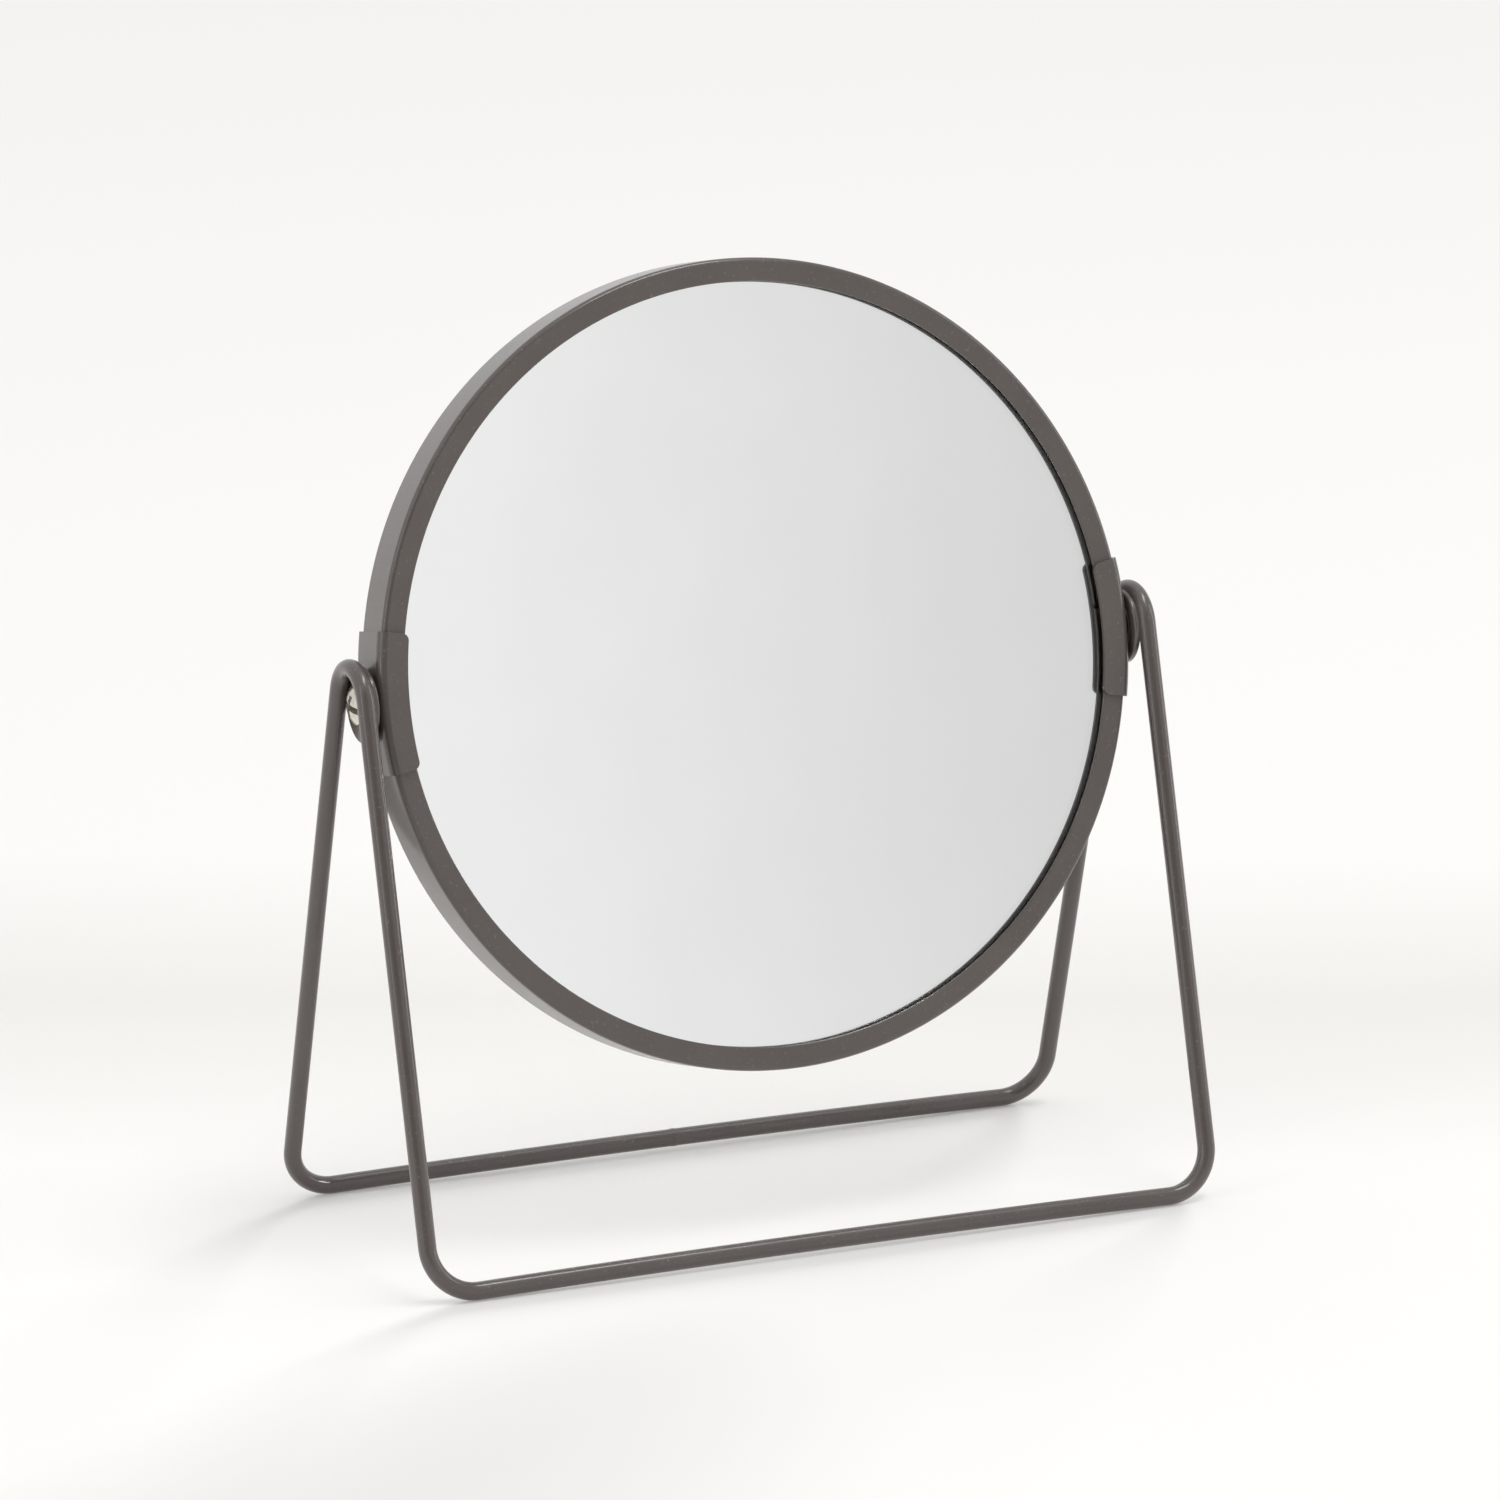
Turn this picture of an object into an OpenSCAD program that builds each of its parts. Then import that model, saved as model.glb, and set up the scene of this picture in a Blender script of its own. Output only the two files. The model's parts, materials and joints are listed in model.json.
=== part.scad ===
// Two-sided tilting shaving mirror on a bent-wire stand.
// Millimetres, +Z up. X runs along the pivot axis, -Y is the side the plain glass faces.
// The origin is on the ground, straight below the middle of the pivot axis.

/* [Mirror head] */
// Outside diameter of the rim
rim_diameter = 170; // [140:1:210]
// Depth of the rim from the front lip to the rear lip
rim_depth = 12; // [12:0.5:18]
// Width of the lip that holds each glass
lip_width = 5; // [3.5:0.1:7]
// Thickness of the rolled rim sheet
rim_sheet = 0.8; // [0.5:0.05:1]
// Outside radius of the two rolled corners of the rim
rim_corner = 1.1; // [0.9:0.05:1.6]
// Width of the gap where the two ends of the rolled rim meet
seam_gap = 1; // [0.4:0.1:1.5]
// Height of that gap above the pivot axis, measured round the rim
seam_rise = 5; // [4.5:0.5:8]
// Backward lean of the head at rest, in degrees
head_lean = 12; // [0:1:30]

/* [Glasses] */
// Thickness of the plain glass
plain_glass = 2; // [1.6:0.1:2.4]
// Thickness of the magnifying glass
magnifier_glass = 2; // [1.6:0.1:2.2]
// Room left between the two glasses' backs at the middle of the head
dish_gap = 1.4; // [0.6:0.1:2.5]
// Thickness of the sheet that backs the plain glass
backing_thickness = 0.6; // [0.2:0.1:0.8]
// Radial clearance between the edge of each glass and the rim
glass_play = 0.5; // [0.3:0.05:1]
// Radial width of the spacer ring between the two glasses
spacer_width = 8; // [6:0.5:12]

/* [Stand] */
// Diameter of the wire
wire_diameter = 3.8; // [3:0.1:4.6]
// Height of the pivot axis above the ground
pivot_height = 117; // [98:1:150]
// Depth of the stand over the outsides of the two rails
stand_depth = 85; // [60:1:120]
// Centreline radius of the loop round each pivot
loop_radius = 7.8; // [7.2:0.1:9.5]
// Centreline radius of the four foot corners
foot_radius = 10; // [6:0.5:16]
// Height the middle of each rail is bowed up off the ground
rail_bow = 0.8; // [0.2:0.1:2]
// Height the butt weld in the rear rail stands proud of the wire
weld_bead = 0.12; // [0.08:0.02:0.3]
// Length of that weld along the wire
weld_length = 1.2; // [0.8:0.1:2.5]

/* [Pivots] */
// Angle each clip takes up round the rim, in degrees
clip_angle = 20; // [16:1:30]
// Thickness of the clip sheet
clip_sheet = 0.8; // [0.5:0.05:1]
// Distance the clip stands in past the inner edge of the rim lip
clip_overhang = 0.5; // [0.3:0.1:1.5]
// Radius of the inner corners of each clip
clip_corner = 1.5; // [0.8:0.1:2.5]
// How far the disc welded across each wire loop reaches past the wire's centreline
disc_reach = 0.2; // [0:0.1:1]
// Thickness of that disc
disc_thickness = 1.3; // [1:0.1:1.8]
// Diameter of the friction washer
washer_diameter = 12; // [9:0.5:14]
// Thickness of the friction washer
washer_thickness = 0.5; // [0.3:0.1:1]
// Thread diameter of the pivot screw
thread_diameter = 4; // [3:0.1:4.8]
// Diameter of the pivot screw head
screw_head_diameter = 8; // [7:0.1:9]
// Height of the pivot screw head
screw_head_height = 2.6; // [2.2:0.1:3.1]
// Turn of the left screw's slot from level, in degrees
left_slot_turn = -24; // [-90:1:90]
// Turn of the right screw's slot from level, in degrees
right_slot_turn = 38; // [-90:1:90]
// Length of each nut plate, up and down the rim
nut_length = 12; // [9:0.5:14]
// Wall of each nut plate beside the thread, across the rim
nut_wall = 0.3; // [0.2:0.05:0.6]
// Thickness of each nut plate
nut_thickness = 2.4; // [2:0.1:3]

/* [Hidden] */
$fn = 96;
wire_steps = 48;
arc_steps = 720;
fold_steps = 48;

// Fits
fit_gap = 0.05;        // clip over rim
pivot_clearance = 0.08; // disc bore round the screw, radial
pivot_play = 0.1;      // disc between washer and screw head, along the axis
hole_clearance = 0.2;  // clip and rim holes round the screw, radial
washer_clearance = 0.1; // washer bore round the screw, radial
spacer_play = 0.3;     // spacer ring inside the rim, radial
nut_play = 0.5;        // pocket in the spacer ring round a nut plate
spacer_fit = 0.01;     // spacer ring over the magnifying glass
weld_sink = 0.2;       // wire sunk into the disc by the weld
bend_swell = 0.02;     // wire a touch thicker where a bend starts
over = 1;              // how far a cutter runs past a face
overlap = 0.01;        // how far two pieces of one solid run into each other

// Rim
rim_radius = rim_diameter / 2;
half_depth = rim_depth / 2;
lip_radius = rim_radius - lip_width;
rim_bore = rim_radius - rim_sheet;
inner_corner = rim_corner - rim_sheet;
seam_turn = asin(seam_rise / rim_radius);
seam_angle = 2 * asin(seam_gap / 2 / rim_radius);

// Glasses, in the head's own frame with z towards the front
glass_radius = rim_bore - glass_play;
seat = half_depth - rim_sheet;
plain_back = seat - plain_glass;
spacer_top = plain_back - backing_thickness;
magnifier_dish = seat + spacer_top - dish_gap - magnifier_glass;
dish_radius = (pow(glass_radius, 2) + pow(magnifier_dish, 2)) / (2 * magnifier_dish);
dish_centre = -seat - sqrt(pow(dish_radius, 2) - pow(glass_radius, 2));
spacer_outer = glass_radius - spacer_play;
spacer_inner = spacer_outer - spacer_width;
// The spacer's underside is a cone that lies nearest the magnifying glass halfway across it
bearing_radius = (spacer_inner + spacer_outer) / 2;
front_radius = dish_radius + magnifier_glass;
bearing_height = sqrt(pow(front_radius, 2) - pow(bearing_radius, 2));
spacer_base = dish_centre + spacer_fit;
spacer_low = spacer_base + (pow(front_radius, 2) - spacer_outer * bearing_radius) / bearing_height;
spacer_high = spacer_base + (pow(front_radius, 2) - spacer_inner * bearing_radius) / bearing_height;

// Clips
clip_bore = rim_radius + fit_gap;
clip_radius = clip_bore + clip_sheet;
clip_half = half_depth + fit_gap + clip_sheet;
clip_inner = lip_radius - clip_overhang;
corner_inset = 0.9 * clip_corner;

// Pivot stack, outward along the axis from the crown of the clip
washer_face = clip_radius + washer_thickness;
disc_face = washer_face + pivot_play;
wire_face = disc_face + disc_thickness;
head_face = wire_face + pivot_play;
wire_radius = wire_diameter / 2;
wire_plane = wire_face - weld_sink + wire_radius;
disc_radius = loop_radius + disc_reach;
disc_edge = 0.45 * disc_thickness;

// Screws
nut_face = rim_bore - nut_thickness;
nut_width = thread_diameter + 2 * nut_wall;
dome_radius = 0.8 * screw_head_diameter;
slot_width = 0.15 * screw_head_diameter;
slot_depth = 0.42 * screw_head_height;
cross_length = 0.56 * screw_head_diameter;
cross_depth = 0.6 * screw_head_height;
head_edge = 0.05 * screw_head_diameter;

// Stand: each leg is tangent to its loop and runs to the foot corner.
// The corner dips under its own point because the rail climbs away from it.
foot_y = stand_depth / 2 - wire_radius;
bow_slope = 2 * atan(rail_bow / (wire_plane + foot_radius));
foot_dip = foot_radius * (tan(45 + bow_slope / 2) - 1);
foot_z = wire_radius - foot_dip * cos(atan(foot_y / pivot_height));
leg_rise = pivot_height - foot_z;
leg_reach = sqrt(pow(foot_y, 2) + pow(leg_rise, 2));
leg_slope = atan(foot_y / leg_rise) - asin(loop_radius / leg_reach);
leg_length = sqrt(pow(leg_reach, 2) - pow(loop_radius, 2));
// The end of the rail seen from the leg's own upright frame
rail_across = sqrt(pow(cos(bow_slope), 2) + pow(sin(bow_slope) * sin(leg_slope), 2));
rail_climb = atan(sin(bow_slope) * cos(leg_slope) / rail_across);
rail_swing = atan(sin(bow_slope) * sin(leg_slope) / cos(bow_slope));
foot_turn = 90 + rail_climb;
foot_tangent = foot_radius * tan(foot_turn / 2);
// The rail is one long shallow arc, level at its middle
bow_radius = (wire_plane - foot_tangent * cos(bow_slope)) / sin(bow_slope);
rail_top = foot_z + foot_tangent * sin(bow_slope) + bow_radius * (1 - cos(bow_slope));

// Puts a child drawn with z towards the front and y up onto the tilted head.
module head_frame() {
    translate([0, 0, pivot_height])
        rotate([90 - head_lean, 0, 0])
            children();
}

// Puts a child drawn along +Z from the middle of the head onto the right end of the pivot axis.
module right_end() {
    rotate([0, 90, 0])
        children();
}

// The same for the left end.
module left_end() {
    rotate([0, -90, 0])
        children();
}

// Section of a channel that opens inward, with its two outer corners rounded.
module channel_block(inner, outer, half, corner) {
    translate([inner, -half])
        square([outer - corner - inner, 2 * half]);
    translate([inner, corner - half])
        square([outer - inner, 2 * (half - corner)]);
    translate([outer - corner, half - corner])
        circle(r = corner);
    translate([outer - corner, corner - half])
        circle(r = corner);
}

// One side of the stand: the loop, two legs and two foot corners.
module wire_side() {
    translate([wire_plane, 0, pivot_height])
        rotate([90, 0, 90])
            rotate([0, 0, leg_slope])
                wire_arc(loop_radius, 180 - 2 * leg_slope);
    for (side = [0, 1])
        mirror([0, side, 0])
            translate([wire_plane, foot_y, foot_z])
                rotate([leg_slope, 0, 0])
                    rotate([0, 0, -rail_swing])
                        foot_piece();
}

// A bend of the wire about Z that starts on the X axis.
module wire_arc(radius, turn) {
    rotate_extrude(angle = turn)
        translate([radius, 0])
            circle(r = wire_radius, $fn = wire_steps);
}

// Leg and foot corner, drawn with the leg standing on the corner's own point.
module foot_piece() {
    translate([0, 0, foot_tangent])
        cylinder(h = leg_length - foot_tangent, r = wire_radius, $fn = wire_steps);
    translate([-foot_radius, 0, foot_tangent])
        rotate([90, 0, 0])
            rotate([0, 0, -foot_turn])
                wire_arc(foot_radius, foot_turn);
    translate([0, 0, leg_length])
        wire_swell();
    translate([0, 0, foot_tangent])
        wire_swell();
    rotate([0, rail_climb - 90, 0])
        translate([0, 0, foot_tangent])
            wire_swell();
}

// The wire is a touch thicker where a bend starts, which also makes one solid of the two.
module wire_swell() {
    sphere(r = wire_radius + bend_swell, $fn = wire_steps);
}

// Front or rear rail as one long shallow arc.
module wire_rail() {
    translate([0, foot_y, rail_top - bow_radius])
        rotate([90, 0, 0])
            rotate([0, 0, 90 - bow_slope])
                wire_arc(bow_radius, 2 * bow_slope, $fn = 4 * arc_steps);
}

module wire_stand() {
    color("dimgray")
        union() {
            wire_side();
            mirror([1, 0, 0])
                wire_side();
            wire_rail();
            mirror([0, 1, 0])
                wire_rail();
            translate([-weld_length / 2, foot_y, rail_top])
                rotate([0, 90, 0])
                    cylinder(h = weld_length, r = wire_radius + weld_bead, $fn = wire_steps);
        }
}

// Disc across a loop, drawn along +Z, with the wire's bed cut into its outer face.
module pivot_disc() {
    difference() {
        translate([0, 0, disc_face])
            rotate_extrude()
                difference() {
                    disc_section();
                    translate([0, -over])
                        square([thread_diameter / 2 + pivot_clearance, disc_thickness + 2 * over]);
                }
        translate([0, 0, wire_plane])
            rotate_extrude()
                translate([loop_radius, 0])
                    circle(r = wire_radius);
    }
}

module disc_section() {
    square([disc_radius - disc_edge, disc_thickness]);
    translate([0, disc_edge])
        square([disc_radius, disc_thickness - disc_edge]);
    translate([disc_radius - disc_edge, disc_edge])
        circle(r = disc_edge);
}

module right_pivot_disc() {
    color("dimgray")
        translate([0, 0, pivot_height])
            right_end()
                pivot_disc();
}

module left_pivot_disc() {
    color("dimgray")
        translate([0, 0, pivot_height])
            left_end()
                pivot_disc();
}

// Pan-head screw with a slot and a short cross recess, drawn along +Z.
module pivot_screw(turn) {
    difference() {
        union() {
            translate([0, 0, nut_face])
                cylinder(h = head_face + overlap - nut_face, r = thread_diameter / 2);
            translate([0, 0, head_face])
                rotate_extrude()
                    intersection() {
                        square([screw_head_diameter / 2, screw_head_height]);
                        translate([0, screw_head_height - dome_radius])
                            circle(r = dome_radius);
                        screw_edge();
                    }
        }
        translate([0, 0, head_face + screw_head_height])
            rotate([0, 0, turn]) {
                cube([screw_head_diameter + over, slot_width, 2 * slot_depth], center = true);
                cube([slot_width, cross_length, 2 * cross_depth], center = true);
                cube([cross_length, slot_width, 2 * cross_depth], center = true);
            }
    }
}

// Rounds the lower edge of the head.
module screw_edge() {
    translate([0, head_edge])
        square([screw_head_diameter / 2, screw_head_height]);
    square([screw_head_diameter / 2 - head_edge, screw_head_height]);
    translate([screw_head_diameter / 2 - head_edge, head_edge])
        circle(r = head_edge);
}

module right_pivot_screw() {
    color("silver")
        head_frame()
            right_end()
                pivot_screw(right_slot_turn);
}

module left_pivot_screw() {
    color("silver")
        head_frame()
            left_end()
                pivot_screw(left_slot_turn);
}

// Flat washer on the crown of a clip, drawn along +Z.
module friction_washer() {
    translate([0, 0, clip_radius])
        difference() {
            cylinder(h = washer_thickness, r = washer_diameter / 2);
            translate([0, 0, -over])
                cylinder(h = washer_thickness + 2 * over, r = thread_diameter / 2 + washer_clearance);
        }
}

module right_friction_washer() {
    color("black")
        head_frame()
            right_end()
                friction_washer();
}

module left_friction_washer() {
    color("black")
        head_frame()
            left_end()
                friction_washer();
}

// Takes the sharp inner corner off one end of a clip.
module clip_corner_cutter() {
    rotate([0, 0, clip_angle / 2])
        translate([0, 0, -rim_depth])
            linear_extrude(height = 2 * rim_depth)
                difference() {
                    translate([clip_inner - over, -corner_inset])
                        square([corner_inset + over, corner_inset + over]);
                    translate([clip_inner + corner_inset, -corner_inset])
                        circle(r = clip_corner);
                }
}

// Sheet channel folded over the rim, drawn round the head's axis at the right end.
module clip_body() {
    difference() {
        rotate([0, 0, -clip_angle / 2])
            rotate_extrude(angle = clip_angle)
                difference() {
                    channel_block(clip_inner, clip_radius, clip_half, rim_corner + fit_gap + clip_sheet);
                    channel_block(clip_inner - over, clip_bore, half_depth + fit_gap, rim_corner + fit_gap);
                }
        clip_corner_cutter();
        mirror([0, 1, 0])
            clip_corner_cutter();
        screw_hole();
    }
}

// Clearance hole for the screw through one end of the head.
module screw_hole() {
    right_end()
        translate([0, 0, lip_radius])
            cylinder(h = lip_width + clip_sheet + 2 * over, r = thread_diameter / 2 + hole_clearance);
}

module right_clip() {
    color("dimgray")
        head_frame()
            clip_body();
}

module left_clip() {
    color("dimgray")
        head_frame()
            mirror([1, 0, 0])
                clip_body();
}

// Threaded plate behind the rim wall, curved to sit against it.
module nut_plate() {
    difference() {
        intersection() {
            translate([nut_face, -nut_length / 2, -nut_width / 2])
                cube([2 * nut_thickness, nut_length, nut_width]);
            translate([0, 0, -rim_depth])
                cylinder(h = 2 * rim_depth, r = rim_bore, $fn = arc_steps);
        }
        right_end()
            translate([0, 0, nut_face - over])
                cylinder(h = nut_thickness + 2 * over, r = thread_diameter / 2);
    }
}

module right_nut_plate() {
    color("gainsboro")
        head_frame()
            nut_plate();
}

module left_nut_plate() {
    color("gainsboro")
        head_frame()
            mirror([1, 0, 0])
                nut_plate();
}

// Rolled channel, split just above the right pivot and drilled at both.
module rim() {
    color("dimgray")
        head_frame()
            difference() {
                rotate([0, 0, seam_turn + seam_angle / 2])
                    rotate_extrude(angle = 360 - seam_angle, $fn = arc_steps / 2)
                        difference() {
                            channel_block(lip_radius, rim_radius, half_depth, rim_corner, $fn = fold_steps);
                            channel_block(lip_radius - over, rim_bore, seat, inner_corner, $fn = fold_steps);
                        }
                screw_hole();
                mirror([1, 0, 0])
                    screw_hole();
            }
}

module plain_mirror() {
    color("aliceblue")
        head_frame()
            translate([0, 0, plain_back])
                cylinder(h = plain_glass, r = glass_radius, $fn = arc_steps / 2);
}

module backing_sheet() {
    color("darkgray")
        head_frame()
            difference() {
                translate([0, 0, spacer_top])
                    cylinder(h = backing_thickness, r = spacer_outer, $fn = arc_steps / 2);
                nut_pocket();
                mirror([1, 0, 0])
                    nut_pocket();
            }
}

// Bent glass, hollow towards the rear.
module magnifying_mirror() {
    color("aliceblue")
        head_frame()
            rotate_extrude($fn = arc_steps / 2)
                intersection() {
                    translate([0, -half_depth])
                        square([glass_radius, rim_depth]);
                    translate([0, dish_centre])
                        difference() {
                            circle(r = front_radius, $fn = arc_steps);
                            circle(r = dish_radius, $fn = arc_steps);
                        }
                }
}

// Ring that keeps the glasses apart, with a pocket for each nut plate.
module spacer_ring() {
    color("tan")
        head_frame()
            difference() {
                rotate_extrude($fn = arc_steps / 2)
                    polygon([
                        [spacer_inner, spacer_high],
                        [spacer_outer, spacer_low],
                        [spacer_outer, spacer_top],
                        [spacer_inner, spacer_top],
                    ]);
                nut_pocket();
                mirror([1, 0, 0])
                    nut_pocket();
            }
}

module nut_pocket() {
    translate([nut_face - nut_play, -nut_length / 2 - nut_play, -rim_depth])
        cube([rim_radius, nut_length + 2 * nut_play, 2 * rim_depth]);
}

wire_stand();
left_pivot_disc();
right_pivot_disc();
left_pivot_screw();
right_pivot_screw();
left_friction_washer();
right_friction_washer();
left_clip();
right_clip();
left_nut_plate();
right_nut_plate();
rim();
plain_mirror();
backing_sheet();
spacer_ring();
magnifying_mirror();
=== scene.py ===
import json
import logging
import math
from dataclasses import dataclass
from enum import Enum

import bmesh
import bpy
import numpy as np
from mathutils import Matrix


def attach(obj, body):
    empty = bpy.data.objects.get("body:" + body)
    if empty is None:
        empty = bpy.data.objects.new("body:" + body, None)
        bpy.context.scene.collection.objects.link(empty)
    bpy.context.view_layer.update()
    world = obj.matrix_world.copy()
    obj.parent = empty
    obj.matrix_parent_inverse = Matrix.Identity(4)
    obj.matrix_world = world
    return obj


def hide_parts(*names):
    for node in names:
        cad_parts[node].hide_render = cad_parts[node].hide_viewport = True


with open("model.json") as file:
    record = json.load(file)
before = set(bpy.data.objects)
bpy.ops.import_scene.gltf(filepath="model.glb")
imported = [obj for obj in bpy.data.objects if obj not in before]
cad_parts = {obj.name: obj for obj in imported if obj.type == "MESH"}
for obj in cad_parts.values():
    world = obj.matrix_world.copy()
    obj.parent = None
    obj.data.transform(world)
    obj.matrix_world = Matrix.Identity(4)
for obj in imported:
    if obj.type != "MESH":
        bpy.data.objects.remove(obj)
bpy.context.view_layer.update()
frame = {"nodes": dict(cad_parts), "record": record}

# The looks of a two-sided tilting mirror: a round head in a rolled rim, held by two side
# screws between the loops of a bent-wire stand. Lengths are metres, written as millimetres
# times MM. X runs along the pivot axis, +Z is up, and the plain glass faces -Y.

Socket = bpy.types.NodeSocket
Material = bpy.types.Material
Colour = tuple[float, float, float, float]
Point = tuple[float, float, float]
Span = tuple[float, float]

MM = 0.001
WELD_DISTANCE = 0.0005 * MM
EDGE_SEGMENTS = 3
CRISP_DEGREES = 50.0
RISING: Span = (0.0, 1.0)
FALLING: Span = (1.0, 0.0)
NOISE_SPAN: Span = (0.3, 0.7)
RECESS = "recess"
log = logging.getLogger("tilting_mirror")


class Body(Enum):
    """The two rigid bodies of the model."""

    STAND = "stand"
    HEAD = "mirror_head"


class Slot(Enum):
    """The record's material slots that new pieces take their finish from."""

    PAINT = "paint"
    GLASS = "glass_mirror"
    SCREW = "screw_steel"


class Side(Enum):
    """Which end of the pivot axis a piece sits at, as the sign of X."""

    LEFT = -1.0
    RIGHT = 1.0

    @property
    def label(self) -> str:
        """The side as it stands in a piece's name."""
        return self.name.lower()


SLOT_TURNS = {Side.LEFT: math.radians(-24.0), Side.RIGHT: math.radians(38.0)}


# ---------------------------------------------------------------------------
# Shapes as arrays
# ---------------------------------------------------------------------------


def unit(vectors: np.ndarray) -> np.ndarray:
    """Scales each vector to length one.

    Args:
        vectors: array whose last axis holds the components.

    Returns:
        The same array with every vector divided by its own length.
    """
    return vectors / np.linalg.norm(vectors, axis=-1, keepdims=True)


def rounded_outline(corners: np.ndarray, radii: np.ndarray, steps: int) -> np.ndarray:
    """Rounds every corner of a closed outline with its own arc.

    At each corner the arc starts r * tan(turn / 2) before the corner, where turn is the
    angle between the two edges' directions. Its centre lies r to the inner side of that
    start, and the arc sweeps through the whole turn.

    Args:
        corners: (k, 2) corner points in order.
        radii: (k,) radius of the arc at each corner.
        steps: points on each arc.

    Returns:
        (k * steps, 2) points in the same order.
    """
    incoming = unit(corners - np.roll(corners, 1, axis=0))
    outgoing = unit(np.roll(corners, -1, axis=0) - corners)
    cross = incoming[:, 0] * outgoing[:, 1] - incoming[:, 1] * outgoing[:, 0]
    turn = np.arctan2(cross, (incoming * outgoing).sum(axis=1))
    start = corners - incoming * (radii * np.tan(np.abs(turn) / 2))[:, None]
    inward = np.stack([-incoming[:, 1], incoming[:, 0]], axis=1) * np.sign(turn)[:, None]
    centre = start + inward * radii[:, None]
    swept = np.linspace(0.0, 1.0, steps)[None, :] * np.abs(turn)[:, None]
    points = (
        centre[:, None, :]
        - inward[:, None, :] * (radii[:, None] * np.cos(swept))[..., None]
        + incoming[:, None, :] * (radii[:, None] * np.sin(swept))[..., None]
    )
    return points.reshape(-1, 2)


def lathe(profile: np.ndarray, angles: np.ndarray) -> np.ndarray:
    """Turns a profile about the local Z axis.

    A profile point (r, z) at angle a goes to (r cos a, r sin a, z).

    Args:
        profile: (n, 2) points as radius and height.
        angles: (m,) angles in radians.

    Returns:
        (m, n, 3) grid of points.
    """
    across = profile[None, :, 0]
    height = np.broadcast_to(profile[None, :, 1], (len(angles), len(profile)))
    return np.stack([across * np.cos(angles)[:, None], across * np.sin(angles)[:, None], height], axis=-1)


def full_turn(steps: int) -> np.ndarray:
    """Angles round a whole circle, the last one left out."""
    return np.linspace(0.0, 2.0 * np.pi, steps, endpoint=False)


def grid_faces(rows: int, columns: int, close_rows: bool, close_columns: bool) -> np.ndarray:
    """Quads that join a grid of points, as whole index arrays.

    Args:
        rows: number of rows.
        columns: points in each row.
        close_rows: joins the last row to the first.
        close_columns: joins each row's last point to its first.

    Returns:
        (faces, 4) vertex indices.
    """
    row = np.arange(rows if close_rows else rows - 1)[:, None]
    column = np.arange(columns if close_columns else columns - 1)[None, :]
    next_row, next_column = (row + 1) % rows, (column + 1) % columns
    quads = [row * columns + column, row * columns + next_column,
             next_row * columns + next_column, next_row * columns + column]
    return np.stack([np.broadcast_to(q, (row.size, column.size)) for q in quads], axis=-1).reshape(-1, 4)


def build_piece(
    name: str,
    grid: np.ndarray,
    close_rows: bool,
    close_columns: bool,
    end_caps: bool = False,
    sharp_degrees: float = 40.0,
) -> bpy.types.Object:
    """Makes a piece from a grid of points, welded and with its faces outward.

    Args:
        name: the piece's name.
        grid: (rows, columns, 3) points in the row frame.
        close_rows: joins the last row to the first.
        close_columns: joins each row's ends.
        end_caps: closes the first and the last row with one face each.
        sharp_degrees: edges that turn more than this stay crisp.

    Returns:
        The new object, linked to the scene.
    """
    rows, columns = grid.shape[:2]
    faces = grid_faces(rows, columns, close_rows, close_columns).tolist()
    if end_caps:
        first = np.arange(columns)
        faces += [first[::-1].tolist(), (first + (rows - 1) * columns).tolist()]
    mesh = bpy.data.meshes.new(name)
    mesh.from_pydata(grid.reshape(-1, 3).tolist(), [], faces)
    work = bmesh.new()
    work.from_mesh(mesh)
    bmesh.ops.remove_doubles(work, verts=work.verts, dist=WELD_DISTANCE)
    bmesh.ops.recalc_face_normals(work, faces=work.faces)
    work.to_mesh(mesh)
    work.free()
    mesh.shade_smooth()
    mesh.set_sharp_from_angle(angle=math.radians(sharp_degrees))
    piece = bpy.data.objects.new(name, mesh)
    bpy.context.scene.collection.objects.link(piece)
    return piece


def soften(piece: bpy.types.Object, width: float = 0.0) -> None:
    """Rounds a piece's crisp edges, if a width is given, and keeps its flat faces flat.

    Args:
        piece: the object.
        width: width of the rounding in metres.
    """
    if width:
        bevel = piece.modifiers.new("rounded_edges", "BEVEL")
        bevel.width = width
        bevel.segments = EDGE_SEGMENTS
        bevel.limit_method = "ANGLE"
        bevel.angle_limit = math.radians(CRISP_DEGREES)
    piece.modifiers.new("flat_faces", "WEIGHTED_NORMAL").keep_sharp = True


def finish_piece(piece: bpy.types.Object, material: Material, body: Body, node: str) -> None:
    """Dresses a piece, puts it on its body and lets it stand for a CAD node.

    Args:
        piece: the object.
        material: its finish.
        body: the body it rides on.
        node: the CAD node that it replaces.
    """
    piece.data.materials.append(material)
    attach(piece, body.value)
    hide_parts(node)
    log.info("built %s with %d faces", piece.name, len(piece.data.polygons))


# ---------------------------------------------------------------------------
# Shader building
# ---------------------------------------------------------------------------


def linear(red: float, green: float, blue: float) -> Colour:
    """Turns a colour given as 0 to 255 on the sRGB curve into the linear values that shaders use."""
    values = np.array([red, green, blue]) / 255.0
    low, high = values / 12.92, ((values + 0.055) / 1.055) ** 2.4
    return (*np.where(values <= 0.04045, low, high).tolist(), 1.0)


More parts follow.
